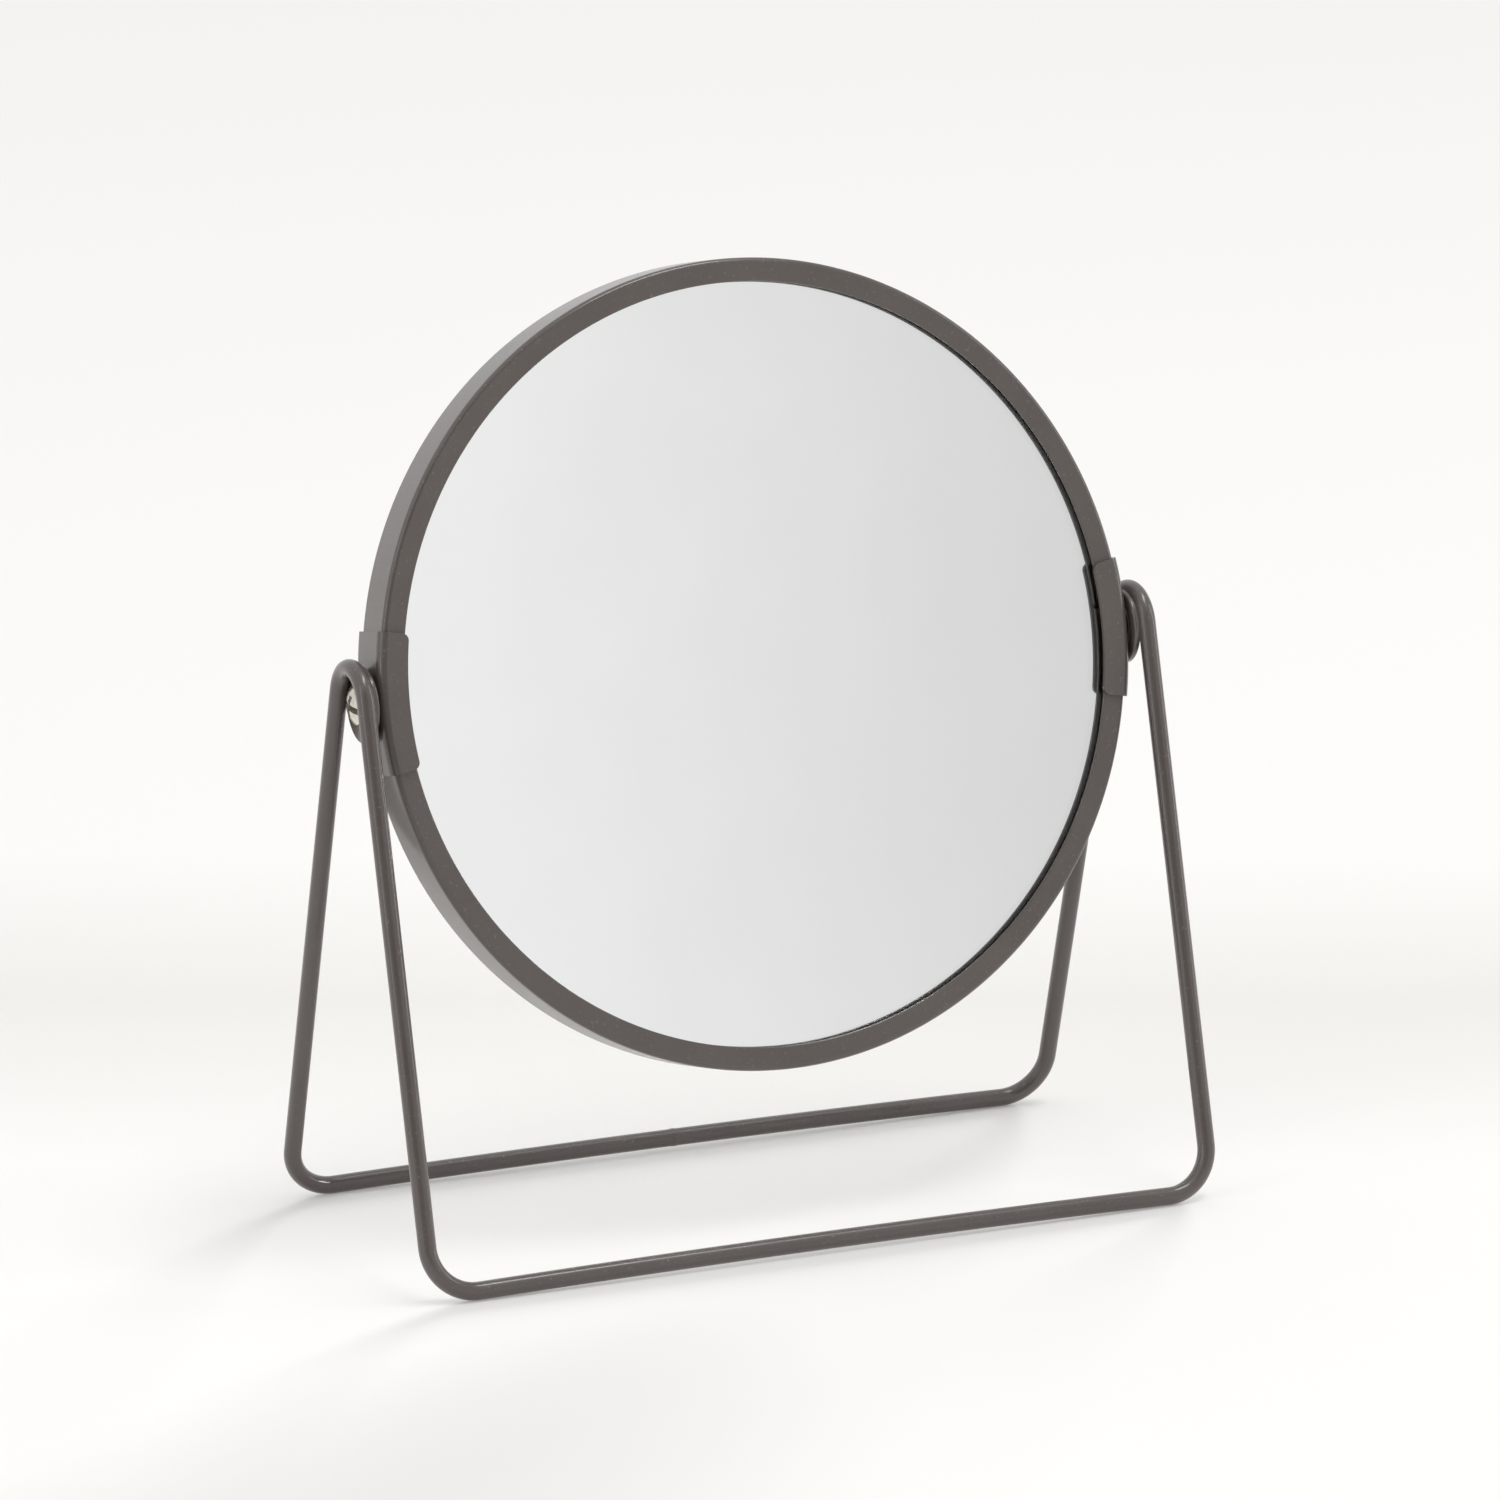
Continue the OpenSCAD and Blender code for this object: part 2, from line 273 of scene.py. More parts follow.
class ShaderNodes:
    """A short way to add nodes and links to one node tree."""

    def __init__(self, tree: bpy.types.NodeTree) -> None:
        """Keeps the tree.

        Args:
            tree: a material's or a group's node tree.
        """
        self.tree = tree

    def add(self, kind: str, **values: object) -> bpy.types.Node:
        """Adds a node and sets its properties.

        Args:
            kind: the node's type name without the ShaderNode prefix.
            values: properties to set on it.

        Returns:
            The node.
        """
        node = self.tree.nodes.new("ShaderNode" + kind)
        for key, value in values.items():
            setattr(node, key, value)
        return node

    def link(self, source: Socket, target: Socket) -> None:
        """Joins an output to an input."""
        self.tree.links.new(source, target)

    def group(self, tree: bpy.types.NodeTree, **values: object) -> bpy.types.Node:
        """Places a shader group.

        Args:
            tree: the group.
            values: a number or a socket for each named input.

        Returns:
            The group's node.
        """
        node = self.add("Group", node_tree=tree)
        for key, value in values.items():
            self.feed(value, node.inputs[key])
        return node

    def group_ends(self) -> tuple[bpy.types.NodeOutputs, bpy.types.NodeInputs]:
        """Adds a group's two ends: what it is given and what it puts out."""
        given = self.tree.nodes.new("NodeGroupInput")
        made = self.tree.nodes.new("NodeGroupOutput")
        return given.outputs, made.inputs

    def feed(self, value: object, target: Socket) -> None:
        """Links a socket to an input, or sets the input to a number or a colour."""
        if isinstance(value, Socket):
            self.link(value, target)
        else:
            target.default_value = value

    def stretch(self, vector: Socket, scale: Point) -> Socket:
        """Scales a position along each axis with a Mapping node."""
        node = self.add("Mapping")
        node.inputs["Scale"].default_value = scale
        self.link(vector, node.inputs["Vector"])
        return node.outputs["Vector"]

    def noise(self, vector: Socket, scale: object, detail: float) -> Socket:
        """Adds a noise pattern.

        Args:
            vector: where the pattern is read.
            scale: cells per metre, as a number or a socket.
            detail: octaves added to the first.

        Returns:
            The pattern's value, 0 to 1.
        """
        node = self.add("TexNoise")
        self.feed(scale, node.inputs["Scale"])
        node.inputs["Detail"].default_value = detail
        self.link(vector, node.inputs["Vector"])
        return node.outputs["Fac"]

    def remap(self, value: Socket, given: Span, result: Span = RISING) -> Socket:
        """Maps a value's range onto another and clamps it there.

        Args:
            value: the socket to read.
            given: the values that give the two ends of the result.
            result: the results at those two values.

        Returns:
            The mapped value.
        """
        node = self.add("MapRange")
        for key, number in zip(("From Min", "From Max", "To Min", "To Max"), (*given, *result)):
            node.inputs[key].default_value = number
        self.link(value, node.inputs["Value"])
        return node.outputs["Result"]

    def math(self, operation: str, first: Socket, second: object) -> Socket:
        """Adds a sum, a product or another operation on two values.

        Args:
            operation: Blender's name of the operation.
            first: the first value.
            second: a number or a socket.

        Returns:
            The result.
        """
        node = self.add("Math", operation=operation)
        self.feed(first, node.inputs[0])
        self.feed(second, node.inputs[1])
        return node.outputs["Value"]

    def mix(self, factor: Socket, first: object, second: object) -> Socket:
        """Mixes two colours.

        Args:
            factor: 0 gives the first colour and 1 the second.
            first: a colour or a socket.
            second: a colour or a socket.

        Returns:
            The mixed colour.
        """
        node = self.add("Mix", data_type="RGBA")
        self.link(factor, node.inputs["Factor"])
        for key, value in (("A", first), ("B", second)):
            socket = next(s for s in node.inputs if s.name == key and s.type == "RGBA")
            self.feed(value, socket)
        return next(s for s in node.outputs if s.type == "RGBA")

    def bump(self, height: Socket, distance: float) -> Socket:
        """Turns a height into a normal.

        Args:
            height: the height, 0 to 1.
            distance: the depth in metres that a height of 1 stands for.

        Returns:
            The bumped normal.
        """
        node = self.add("Bump")
        node.inputs["Distance"].default_value = distance
        self.link(height, node.inputs["Height"])
        return node.outputs["Normal"]


class SurfaceEffects:
    """The shader groups that several finishes share, each built once."""

    FINE_DETAIL = 2.0
    BROAD_DETAIL = 3.0
    FINE_SHARE = 0.6
    UPWARD: Span = (-0.2, 0.95)
    UPWARD_DUST: Span = (0.15, 1.0)
    SPECK_CELLS = 1500.0
    SPECK_DETAIL = 3.0
    SPECKS: Span = (0.62, 0.75)

    def __init__(self) -> None:
        """Builds the groups."""
        self.skin = self._build_skin()
        self.dust = self._build_dust()

    @staticmethod
    def _start(name: str, inputs: dict[str, str], outputs: dict[str, str]) -> ShaderNodes:
        """Makes an empty group with named sockets.

        Args:
            name: the group's name.
            inputs: socket name to its type.
            outputs: socket name to its type.

        Returns:
            The nodes of the new group.
        """
        group = bpy.data.node_groups.new(name, "ShaderNodeTree")
        for way, sockets in (("INPUT", inputs), ("OUTPUT", outputs)):
            for socket, kind in sockets.items():
                group.interface.new_socket(socket, in_out=way, socket_type=kind)
        return ShaderNodes(group)

    @staticmethod
    def _build_skin() -> bpy.types.NodeTree:
        """A coated skin: fine orange peel on broad waves, and a slow drift of tone.

        Returns:
            The group, with Height and Tone outputs, both 0 to 1.
        """
        nodes = SurfaceEffects._start(
            "coated_skin",
            {"Vector": "NodeSocketVector", "Fine": "NodeSocketFloat", "Broad": "NodeSocketFloat"},
            {"Height": "NodeSocketFloat", "Tone": "NodeSocketFloat"},
        )
        given, made = nodes.group_ends()
        share = SurfaceEffects.FINE_SHARE
        fine = nodes.noise(given["Vector"], given["Fine"], SurfaceEffects.FINE_DETAIL)
        broad = nodes.noise(given["Vector"], given["Broad"], SurfaceEffects.BROAD_DETAIL)
        fine_part = nodes.math("MULTIPLY", fine, share)
        broad_part = nodes.math("MULTIPLY", broad, 1.0 - share)
        nodes.link(nodes.math("ADD", fine_part, broad_part), made["Height"])
        nodes.link(nodes.remap(broad, NOISE_SPAN), made["Tone"])
        return nodes.tree

    @staticmethod
    def _build_dust() -> bpy.types.NodeTree:
        """Fine dust: specks that settle where the surface faces up.

        Returns:
            The group, with a Mask output, 0 to 1.
        """
        nodes = SurfaceEffects._start(
            "settled_dust",
            {"Vector": "NodeSocketVector", "Normal": "NodeSocketVector", "Amount": "NodeSocketFloat"},
            {"Mask": "NodeSocketFloat"},
        )
        given, made = nodes.group_ends()
        axes = nodes.add("SeparateXYZ")
        nodes.link(given["Normal"], axes.inputs["Vector"])
        upward = nodes.remap(axes.outputs["Z"], SurfaceEffects.UPWARD, SurfaceEffects.UPWARD_DUST)
        pattern = nodes.noise(given["Vector"], SurfaceEffects.SPECK_CELLS, SurfaceEffects.SPECK_DETAIL)
        specks = nodes.remap(pattern, SurfaceEffects.SPECKS)
        settled = nodes.math("MULTIPLY", upward, specks)
        nodes.link(nodes.math("MULTIPLY", settled, given["Amount"]), made["Mask"])
        return nodes.tree


# ---------------------------------------------------------------------------
# Finishes
# ---------------------------------------------------------------------------


class Dressing:
    """A material that is being made: its nodes, its shader and where its patterns are read."""

    def __init__(self, name: str) -> None:
        """Makes the material with one Principled shader that reads Object coordinates.

        Args:
            name: the material's name.
        """
        self.material = bpy.data.materials.new(name)
        self.material.use_nodes = True
        self.nodes = ShaderNodes(self.material.node_tree)
        self.shader = self.material.node_tree.nodes["Principled BSDF"]
        coordinates = self.nodes.add("TexCoord")
        self.place = coordinates.outputs["Object"]
        self.facing = coordinates.outputs["Normal"]

    def set(self, **values: object) -> None:
        """Sets or links the shader's sockets, with _ in a key for each space in its name."""
        for key, value in values.items():
            self.nodes.feed(value, self.shader.inputs[key.replace("_", " ")])


@dataclass(frozen=True)
class PaintFinish:
    """Semi-gloss warm grey paint with orange peel, a slow drift of tone and fine dust."""

    name: str = "warm_grey_paint"
    deep: Colour = linear(81, 73, 69)
    light: Colour = linear(87, 79, 75)
    dust: Colour = linear(190, 185, 178)
    dust_amount: float = 0.30
    peel_cells: float = 1100.0
    drift_cells: float = 70.0
    peel_depth: float = 0.005 * MM
    roughness: Span = (0.27, 0.33)
    coat: float = 0.5
    coat_roughness: float = 0.08

    def build(self, effects: SurfaceEffects) -> Material:
        """Makes the material.

        Args:
            effects: the shared shader groups.

        Returns:
            The material.
        """
        made = Dressing(self.name)
        nodes = made.nodes
        skin = nodes.group(effects.skin, Vector=made.place, Fine=self.peel_cells, Broad=self.drift_cells)
        dust = nodes.group(effects.dust, Vector=made.place, Normal=made.facing, Amount=self.dust_amount)
        tone = nodes.mix(skin.outputs["Tone"], self.deep, self.light)
        made.set(
            Base_Color=nodes.mix(dust.outputs["Mask"], tone, self.dust),
            Roughness=nodes.remap(skin.outputs["Tone"], RISING, self.roughness),
            Normal=nodes.bump(skin.outputs["Height"], self.peel_depth),
            Coat_Weight=self.coat,
            Coat_Roughness=self.coat_roughness,
        )
        return made.material


@dataclass(frozen=True)
class ScrewFinish:
    """Bright zinc plate with a fine grain, and painted brown shade in patches in the recesses of the head,
    darker where they are deeper.
    """

    name: str = "bright_zinc"
    bright: Colour = linear(226, 222, 212)
    dull: Colour = linear(192, 186, 172)
    recess_shade: Colour = linear(74, 52, 32)
    grain_cells: float = 2600.0
    drift_cells: float = 420.0
    recess_shade_cells: float = 1400.0
    recess_shade_detail: float = 3.0
    recess_shade_span: Span = (0.35, 0.6)
    recess_shade_share: Span = (0.35, 1.0)
    metallic: Span = (1.0, 0.2)
    roughness: Span = (0.26, 0.7)
    depth: float = 0.012 * MM

    def build(self, effects: SurfaceEffects) -> Material:
        """Makes the material.

        Args:
            effects: the shared shader groups.

        Returns:
            The material.
        """
        made = Dressing(self.name)
        nodes = made.nodes
        skin = nodes.group(effects.skin, Vector=made.place, Fine=self.grain_cells, Broad=self.drift_cells)
        # Painted shade: the slot and cross recess turn brown, duller and less metallic with their depth, in
        # noise patches.
        recess = nodes.add("Attribute", attribute_name=RECESS).outputs["Fac"]
        pattern = nodes.noise(made.place, self.recess_shade_cells, self.recess_shade_detail)
        patches = nodes.remap(pattern, self.recess_shade_span, self.recess_shade_share)
        recess_shaded = nodes.math("MULTIPLY", recess, patches)
        plate = nodes.mix(skin.outputs["Tone"], self.bright, self.dull)
        made.set(
            Base_Color=nodes.mix(recess_shaded, plate, self.recess_shade),
            Metallic=nodes.remap(recess_shaded, RISING, self.metallic),
            Roughness=nodes.remap(recess_shaded, RISING, self.roughness),
            Normal=nodes.bump(skin.outputs["Height"], self.depth),
        )
        return made.material


@dataclass(frozen=True)
class PaneFinish:
    """Clear glass with a very faint haze of wiping marks."""

    name: str = "clear_glass"
    tint: Colour = linear(255, 255, 255)
    wiping: Point = (1.0, 1.0, 4.0)
    mark_cells: float = 45.0
    mark_detail: float = 4.0
    mark_span: Span = (0.5, 0.8)
    roughness: Span = (0.0, 0.004)
    bending: float = 1.52

    def build(self) -> Material:
        """Makes the material."""
        made = Dressing(self.name)
        place = made.nodes.stretch(made.place, self.wiping)
        marks = made.nodes.noise(place, self.mark_cells, self.mark_detail)
        made.set(
            Base_Color=self.tint,
            Roughness=made.nodes.remap(marks, self.mark_span, self.roughness),
            Metallic=0.0,
            Transmission_Weight=1.0,
            IOR=self.bending,
        )
        return made.material


@dataclass(frozen=True)
class SilverFinish:
    """The reflecting layer behind a glass, with a trace of unevenness in the silver."""

    name: str = "silvering"
    silver: Colour = linear(250, 251, 250)
    thin_silver: Colour = linear(247, 248, 247)
    cloud_cells: float = 30.0
    cloud_detail: float = 4.0

    def build(self) -> Material:
        """Makes the material."""
        made = Dressing(self.name)
        pattern = made.nodes.noise(made.place, self.cloud_cells, self.cloud_detail)
        cloud = made.nodes.remap(pattern, NOISE_SPAN)
        made.set(
            Base_Color=made.nodes.mix(cloud, self.silver, self.thin_silver),
            Metallic=1.0,
            Roughness=0.0,
        )
        return made.material


@dataclass(frozen=True)
class PlainFinish:
    """A dull inner piece: two tones in a pattern that can be stretched along an axis."""

    name: str
    deep: Colour
    light: Colour
    roughness: Span
    metallic: float = 0.0
    cells: float = 500.0
    pulled: Point = (1.0, 1.0, 1.0)
    depth: float = 0.02 * MM
    fineness: float = 3.0

    def build(self, effects: SurfaceEffects) -> Material:
        """Makes the material.

        Args:
            effects: the shared shader groups.

        Returns:
            The material.
        """
        made = Dressing(self.name)
        nodes = made.nodes
        place = nodes.stretch(made.place, self.pulled)
        skin = nodes.group(effects.skin, Vector=place, Fine=self.fineness * self.cells, Broad=self.cells)
        made.set(
            Base_Color=nodes.mix(skin.outputs["Tone"], self.deep, self.light),
            Roughness=nodes.remap(skin.outputs["Tone"], RISING, self.roughness),
            Metallic=self.metallic,
            Normal=nodes.bump(skin.outputs["Height"], self.depth),
        )
        return made.material


# ---------------------------------------------------------------------------
# Frames of the object
# ---------------------------------------------------------------------------


@dataclass(frozen=True)
class HeadFrame:
    """The head's own frame: x along the pivot axis, y up the glass, z out of the plain glass."""

    height: float
    lean: float = math.radians(12.0)

    def place(self, points: np.ndarray) -> np.ndarray:
        """Carries points from the head's frame to the row frame.

        The head leans back, so y goes to (0, sin, cos) and z to (0, -cos, sin) of the lean,
        and the origin goes to the pivot axis.

        Args:
            points: array whose last axis is x, y, z.

        Returns:
            The array in the row frame.
        """
        sine, cosine = math.sin(self.lean), math.cos(self.lean)
        axes = np.array([[1.0, 0.0, 0.0], [0.0, sine, cosine], [0.0, -cosine, sine]])
        return points @ axes + np.array([0.0, 0.0, self.height])


def along_axis(points: np.ndarray, side: Side) -> np.ndarray:
    """Turns points drawn along Z so that they run outward along the pivot axis.

    A point (x, y, z) goes to (s z, y, -s x), where s is the side's sign.

    Args:
        points: array whose last axis is x, y, z.
        side: the end of the axis.

    Returns:
        The turned array.
    """
    return np.stack([side.value * points[..., 2], points[..., 1], -side.value * points[..., 0]], axis=-1)


# ---------------------------------------------------------------------------
# Sub-assemblies
# ---------------------------------------------------------------------------


@dataclass
class WireStand:
    """The stand: one closed length of round wire with a butt weld in its rear rail."""

    height: float
    wire_radius: float = 1.9 * MM
    wire_plane: float = 89.45 * MM
    stand_depth: float = 85.0 * MM
    loop_radius: float = 7.8 * MM
    foot_radius: float = 10.0 * MM
    rail_bow: float = 0.8 * MM
    weld_bead: float = 0.12 * MM
    weld_length: float = 1.2 * MM
    weld_ripple: float = 0.2
    weld_waves: int = 3
    weld_turn: float = 1.0
    sides: int = 48
    rail_points: int = 90
    rail_crowding: float = 1.8
    corner_points: int = 28
    leg_points: int = 40
    loop_points: int = 26

    def quarter(self) -> np.ndarray:
        """Centreline from the middle of the front rail to the top of the right loop.

        The rail is a shallow arc, level at its middle, that has turned down by the bow slope
        where the foot corner starts. The corner is an arc between the rail's end direction
        and the leg's. The leg is tangent to the loop, and the loop runs on to its top.

        Returns:
            (n, 3) points.
        """
        foot_y = self.stand_depth / 2 - self.wire_radius
        bow = 2 * math.atan(self.rail_bow / (self.wire_plane + self.foot_radius))
        dip = self.foot_radius * (math.tan(math.pi / 4 + bow / 2) - 1)
        foot_z = self.wire_radius - dip * math.cos(math.atan(foot_y / self.height))
        rise = self.height - foot_z
        slope = math.atan(foot_y / rise) - math.asin(self.loop_radius / math.hypot(foot_y, rise))

        corner = np.array([self.wire_plane, -foot_y, foot_z])
        rail_way = np.array([math.cos(bow), 0.0, -math.sin(bow)])
        leg_way = np.array([0.0, math.sin(slope), math.cos(slope)])
        turn = math.acos(float(rail_way @ leg_way))
        reach = self.foot_radius * math.tan(turn / 2)

        bow_radius = (self.wire_plane - reach * math.cos(bow)) / math.sin(bow)
        rail_top = foot_z + reach * math.sin(bow) + bow_radius * (1 - math.cos(bow))
        swept = bow * np.linspace(0.0, 1.0, self.rail_points) ** self.rail_crowding
        rail_z = rail_top - bow_radius * (1 - np.cos(swept))
        rail = np.stack([bow_radius * np.sin(swept), np.full_like(swept, -foot_y), rail_z], axis=1)

        inner = unit(leg_way - (leg_way @ rail_way) * rail_way)
        swept = np.linspace(0.0, turn, self.corner_points)[:, None]
        bend = corner - reach * rail_way + self.foot_radius * (
            inner * (1 - np.cos(swept)) + rail_way * np.sin(swept)
        )

        hub = np.array([self.wire_plane, 0.0, self.height])
        touch = hub + self.loop_radius * np.array([0.0, -math.cos(slope), math.sin(slope)])
        part = np.linspace(0.0, 1.0, self.leg_points)[:, None]
        leg = bend[-1] * (1 - part) + touch * part

        swept = np.linspace(math.pi - slope, math.pi / 2, self.loop_points)
        loop = hub + self.loop_radius * np.stack([0 * swept, np.cos(swept), np.sin(swept)], axis=1)
        return np.concatenate([rail[:-1], bend[:-1], leg[:-1], loop])

    def tube(self) -> np.ndarray:
        """Rings round the closed centreline.

        The whole centreline is the quarter and its mirror images. Each ring's first
        direction points away from the middle of the stand, square to the wire, so the rings
        close without a twist. The weld swells the radius by a bell curve along the wire.

        Returns:
            (n, sides, 3) points.
        """
        quarter = self.quarter()
        rear, left = np.array([1.0, -1.0, 1.0]), np.array([-1.0, 1.0, 1.0])
        path = np.concatenate([
            quarter[:-1], (quarter * rear)[:0:-1], (quarter * rear * left)[:-1], (quarter * left)[:0:-1],
        ])
        ahead, behind = np.roll(path, -1, axis=0) - path, path - np.roll(path, 1, axis=0)
        along = unit(ahead / (ahead**2).sum(axis=1)[:, None] + behind / (behind**2).sum(axis=1)[:, None])
        away = path - np.array([0.0, 0.0, self.height / 2])
        outward = unit(away - (away * along).sum(axis=1)[:, None] * along)
        across = np.cross(along, outward)

        turn = full_turn(self.sides)[None, :]
        on_rear_rail = (path[:, 1] > 0) & (path[:, 2] < self.foot_radius / 2)
        bell = np.exp(-((2 * path[:, 0] / self.weld_length) ** 2)) * on_rear_rail
        ripple = 1 - self.weld_ripple + self.weld_ripple * np.sin(self.weld_waves * turn + self.weld_turn)
        radius = self.wire_radius + self.weld_bead * bell[:, None] * ripple
        return path[:, None, :] + radius[..., None] * (
            np.cos(turn)[..., None] * outward[:, None, :] + np.sin(turn)[..., None] * across[:, None, :]
        )

    def build(self, paint: Material) -> None:
        """Builds the wire and dresses it.

        Args:
            paint: its finish.
        """
        piece = build_piece("bent_wire", self.tube(), True, True)
        finish_piece(piece, paint, Body.STAND, "wire_stand")


@dataclass
class PivotDisc:
    """The round plate welded across a wire loop, with a rolled edge towards the head."""

    height: float
    radius: float = 8.0 * MM
    bore: float = 2.08 * MM
    thickness: float = 1.3 * MM
    inner_face: float = 86.45 * MM
    rolled_share: float = 0.45
    outer_edge: float = 0.1 * MM
    bore_edge: float = 0.05 * MM
    arc_points: int = 9
    sides: int = 160

    def build(self, side: Side, paint: Material) -> None:
        """Builds one disc by turning its rounded section about the pivot axis.

        Args:
            side: the end of the axis.
            paint: its finish.
        """
        corners = np.array([[self.bore, 0.0], [self.radius, 0.0], [self.radius, self.thickness],
                            [self.bore, self.thickness]])
        rolled = self.rolled_share * self.thickness
        radii = np.array([self.bore_edge, rolled, self.outer_edge, self.bore_edge])
        points = lathe(rounded_outline(corners, radii, self.arc_points), full_turn(self.sides))
        points[..., 2] += self.inner_face
        grid = along_axis(points, side) + np.array([0.0, 0.0, self.height])
        piece = build_piece(f"{side.label}_disc", grid, True, True)
        soften(piece)
        finish_piece(piece, paint, Body.STAND, f"{side.label}_pivot_disc")


@dataclass
class PivotScrew:
    """A pan-head screw with a slot across its dome and a short cross recess."""

    frame: HeadFrame
    head_radius: float = 4.0 * MM
    head_height: float = 2.6 * MM
    dome_radius: float = 6.4 * MM
    edge_radius: float = 0.4 * MM
    thread_radius: float = 2.0 * MM
    head_face: float = 87.85 * MM
    shank_end: float = 81.8 * MM
    slot_width: float = 1.2 * MM
    slot_depth: float = 1.092 * MM
    cross_length: float = 4.48 * MM
    cross_depth: float = 1.56 * MM
    edge_softness: float = 0.10 * MM
    sharp_degrees: float = 32.0
    match_cell: float = 0.01 * MM
    sides: int = 300
    rings: int = 90
    edge_points: int = 8

    def dome(self, reach: np.ndarray) -> np.ndarray:
        """Height of the dome above the head's underside, a sphere's cap, at each radius."""
        return self.head_height - (self.dome_radius - np.sqrt(self.dome_radius**2 - reach**2))

    def band(self, distance: np.ndarray, width: float) -> np.ndarray:
        """1 inside a band of the given width and 0 outside, with a short ramp between."""
        return np.clip((width / 2 - np.abs(distance)) / self.edge_softness + 0.5, 0.0, 1.0)

    def surface(self, turn: float) -> tuple[np.ndarray, np.ndarray]:
        """The whole screw as one grid of rings, and how deep each point lies in a recess.

        The top is the dome cut down to the slot's floor inside the slot's band, and to the
        deeper cross floor inside two short crossing bands. Below it the grid runs down the
        side, round the lower edge, under the head and along the shank to its end.

        Args:
            turn: the slot's turn from level, in radians.

        Returns:
            (rows, columns, 3) points along Z, and (rows, columns) depth from 0 to 1.
        """
        angle = full_turn(self.sides)[None, :]
        reach = np.linspace(0.0, self.head_radius, self.rings)[:, None]
        along, across = reach * np.cos(angle - turn), reach * np.sin(angle - turn)
        slot = self.band(across, self.slot_width)
        cross = np.maximum(
            self.band(along, self.slot_width) * self.band(across, self.cross_length),
            slot * self.band(along, self.cross_length),
        )
        dome = np.broadcast_to(self.dome(reach), along.shape)
        slot_cut = np.maximum(dome - (self.head_height - self.slot_depth), 0.0) * slot
        cross_cut = np.maximum(dome - (self.head_height - self.cross_depth), 0.0) * cross
        cut = np.maximum(slot_cut, cross_cut)
        top = np.stack([reach * np.cos(angle), reach * np.sin(angle), dome - cut], axis=-1)

        bend = np.linspace(0.0, np.pi / 2, self.edge_points)
        edge = self.edge_radius
        edge_reach = self.head_radius - edge + edge * np.cos(bend)
        lower_edge = np.stack([edge_reach, edge - edge * np.sin(bend)], axis=1)
        shank = np.array([[self.thread_radius, 0.0], [self.thread_radius, self.shank_end - self.head_face],
                          [0.0, self.shank_end - self.head_face]])
        under = np.swapaxes(lathe(np.concatenate([lower_edge, shank]), angle[0]), 0, 1)
        depth = np.concatenate([cut / self.cross_depth, np.zeros(under.shape[:2])])
        return np.concatenate([top, under]), depth

    def build(self, side: Side, turn: float, steel: Material) -> None:
        """Builds one screw, marks its recesses with an attribute and dresses it.

        Args:
            side: the end of the axis.
            turn: the slot's turn from level, in radians.
            steel: its finish.
        """
        points, depth = self.surface(turn)
        points[..., 2] += self.head_face
        piece = build_piece(f"{side.label}_screw", self.frame.place(along_axis(points, side)),
                            False, True, sharp_degrees=self.sharp_degrees)
        self.mark_recess(piece, points, depth, side)
        finish_piece(piece, steel, Body.HEAD, f"{side.label}_pivot_screw")

    def mark_recess(self, piece: bpy.types.Object, points: np.ndarray, depth: np.ndarray, side: Side) -> None:
        """Writes each vertex's recess depth as a float attribute.

        Vertices were welded, so each one takes the depth of its grid point, found by sorting
        both sets of coordinates rounded to the match cell.

        Args:
            piece: the screw.
            points: the grid before it was placed.
            depth: the depth at each grid point.
            side: the end of the axis.
        """
        placed = self.frame.place(along_axis(points, side)).reshape(-1, 3)
        vertices = np.empty(len(piece.data.vertices) * 3)
        piece.data.vertices.foreach_get("co", vertices)
        vertices = vertices.reshape(-1, 3)
        cell = np.round(np.concatenate([placed, vertices]) / self.match_cell).astype(np.int64)
        keys, which = np.unique(cell, axis=0, return_inverse=True)
        table = np.zeros(len(keys))
        np.maximum.at(table, which.ravel()[: len(placed)], depth.ravel())
        attribute = piece.data.attributes.new(RECESS, "FLOAT", "POINT")
        attribute.data.foreach_set("value", table[which.ravel()[len(placed):]].astype(np.float32))


@dataclass
class Rim:
    """The rolled channel round both glasses, split just above the right pivot, under the clip."""

    frame: HeadFrame
    radius: float = 85.0 * MM
    half_depth: float = 6.0 * MM
    lip_width: float = 5.0 * MM
    sheet: float = 0.8 * MM
    corner: float = 1.1 * MM
    seam_gap: float = 1.0 * MM
    seam_rise: float = 5.0 * MM
    lip_edge: float = 0.35 * MM
    arc_points: int = 7
    rings: int = 481

    def build(self, paint: Material) -> None:
        """Builds the rim by turning its rounded channel section from one side of the seam to the other.

        Args:
            paint: its finish.
        """
        lip, outer, bore = self.radius - self.lip_width, self.radius, self.radius - self.sheet
        half, seat = self.half_depth, self.half_depth - self.sheet
        corners = np.array([[lip, half], [outer, half], [outer, -half], [lip, -half],
                            [lip, -seat], [bore, -seat], [bore, seat], [lip, seat]])
        inner_corner, lip_edge = self.corner - self.sheet, self.lip_edge
        radii = np.array([lip_edge, self.corner, self.corner, lip_edge,
                          lip_edge, inner_corner, inner_corner, lip_edge])
        seam = math.asin(self.seam_rise / self.radius)
        half_gap = math.asin(self.seam_gap / 2 / self.radius)
        angles = seam + np.linspace(half_gap, 2 * math.pi - half_gap, self.rings)
        grid = self.frame.place(lathe(rounded_outline(corners, radii, self.arc_points), angles))
        piece = build_piece("rolled_rim", grid, False, True, end_caps=True, sharp_degrees=CRISP_DEGREES)
        soften(piece)
        finish_piece(piece, paint, Body.HEAD, "rim")


